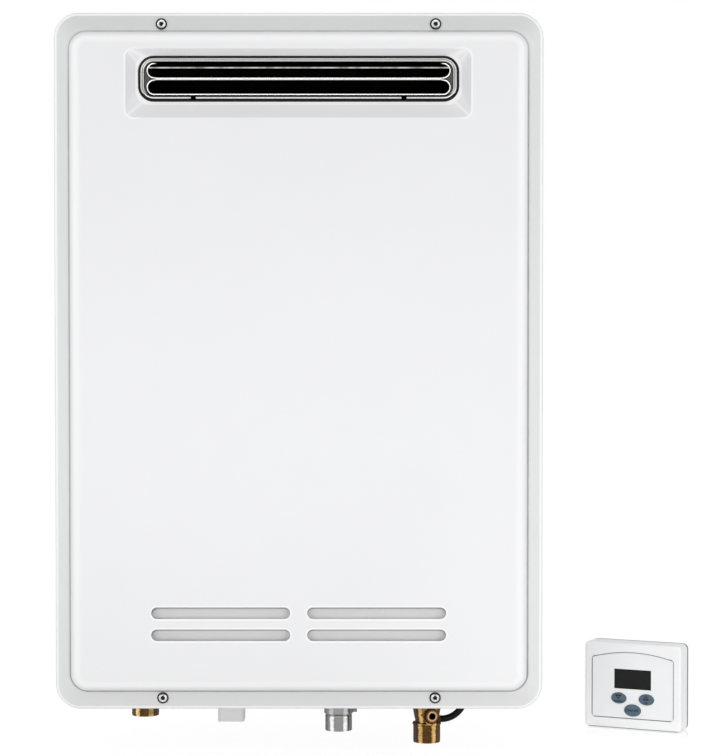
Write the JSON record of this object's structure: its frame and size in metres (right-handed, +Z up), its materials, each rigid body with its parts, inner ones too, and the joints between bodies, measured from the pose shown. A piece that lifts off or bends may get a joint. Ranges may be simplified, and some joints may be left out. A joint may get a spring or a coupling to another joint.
{
  "type": "tankless water heater",
  "caption": "Wall-hung outdoor tankless gas water heater: pressed white casing, front flue outlet, pipe fittings below, full inner works and a separate wall controller.",
  "frame": {"origin": "midway between the two keyhole entries of the wall hanger, on the wall plane", "axes": "+Z up, +Y into the wall, so the front cover faces -Y; +X to the right seen from the front"},
  "size_m": [0.5028, 0.19, 0.5706],
  "materials": {
    "white_paint": "smooth gloss powder coat",
    "grey_paint": "satin grey coat",
    "galvanised": "galvanised sheet",
    "stainless": "bright stainless sheet",
    "zinc": "bright zinc plate",
    "brass": "machined brass with a dull yellow tone",
    "nickel": "nickel plate",
    "copper": "drawn copper",
    "black_rubber": "matt black rubber",
    "cast_alloy": "die-cast grey",
    "coil_blue": "moulded coil cover",
    "black_plastic": "fine textured",
    "white_plastic": "smooth white moulding",
    "ceramic": "glazed ceramic look",
    "board_green": "solder mask",
    "key_grey": "satin silver-grey film",
    "key_blue": "soft slate blue",
    "display": "dark glossy window"
  },
  "bodies": {
    "heater": {"case_wrap": "white_paint", "front_cover": "white_paint", "back_panel": "grey_paint", "inlet_baffle": "grey_paint", "cable_shield": "grey_paint", "hanger_rail": "galvanised", "spacer_rail": "galvanised", "heat_brackets": "galvanised", "pipe_plate": "galvanised", "screw_clips": "galvanised", "burner_box": "galvanised", "combustion_chamber": "galvanised", "flue_hood": "galvanised", "burner_bars": "galvanised", "fan_housing": "galvanised", "gas_riser": "galvanised", "exhaust_grille": "stainless", "turbine_axle": "stainless", "cover_screws": "zinc", "case_screws": "zinc", "rail_rivets": "zinc", "hot_outlet": "brass", "cold_inlet": "brass", "drain_plug": "brass", "gas_manifold": "brass", "gas_inlet": "nickel", "exchanger_jacket": "copper", "exchanger_fins": "copper", "exchanger_tubes": "copper", "cold_pipe": "copper", "hot_pipe": "copper", "sensor_lead": "black_rubber", "cable_grommets": "black_rubber", "cover_gasket": "black_rubber", "exhaust_gasket": "black_rubber", "gas_valve": "cast_alloy", "fan_motor": "cast_alloy", "gas_solenoids": "coil_blue", "flow_sensor": "black_plastic", "board_tray": "black_plastic", "terminal_block": "black_plastic", "igniter_module": "black_plastic", "overheat_switch": "black_plastic", "hot_thermistor": "black_plastic", "transformer": "black_plastic", "remote_front": "white_plastic", "remote_back": "white_plastic", "frost_heater": "white_plastic", "ignition_electrodes": "ceramic", "flame_rod": "ceramic", "control_board": "board_green", "remote_board": "board_green", "remote_panel": "key_grey", "remote_display": "display"},
    "fan_rotor": {"fan_shaft": "stainless", "fan_impeller": "black_plastic"},
    "turbine": {"flow_turbine": "white_plastic"},
    "key_down": {"button_down": "key_blue"},
    "key_up": {"button_up": "key_blue"},
    "key_power": {"button_power": "key_blue"}
  },
  "joints": [
    {"name": "fan_spin", "type": "hinge", "parent": "heater", "child": "fan_rotor", "pos_m": [-0.054, -0.089, -0.313], "axis": [0, -1, 0], "continuous": true},
    {"name": "turbine_spin", "type": "hinge", "parent": "heater", "child": "turbine", "pos_m": [0.1, -0.095, -0.4287], "axis": [0, 0, 1], "continuous": true},
    {"name": "down_press", "type": "slide", "parent": "heater", "child": "key_down", "axis": [0.4226, 0.9063, 0], "range_m": [0, 0.0008], "stiffness_N_per_m": 1500, "springref_m": -0.0002},
    {"name": "up_press", "type": "slide", "parent": "heater", "child": "key_up", "axis": [0.4226, 0.9063, 0], "range_m": [0, 0.0008], "stiffness_N_per_m": 1500, "springref_m": -0.0002},
    {"name": "power_press", "type": "slide", "parent": "heater", "child": "key_power", "axis": [0.4226, 0.9063, 0], "range_m": [0, 0.0008], "stiffness_N_per_m": 1500, "springref_m": -0.0002}
  ]
}
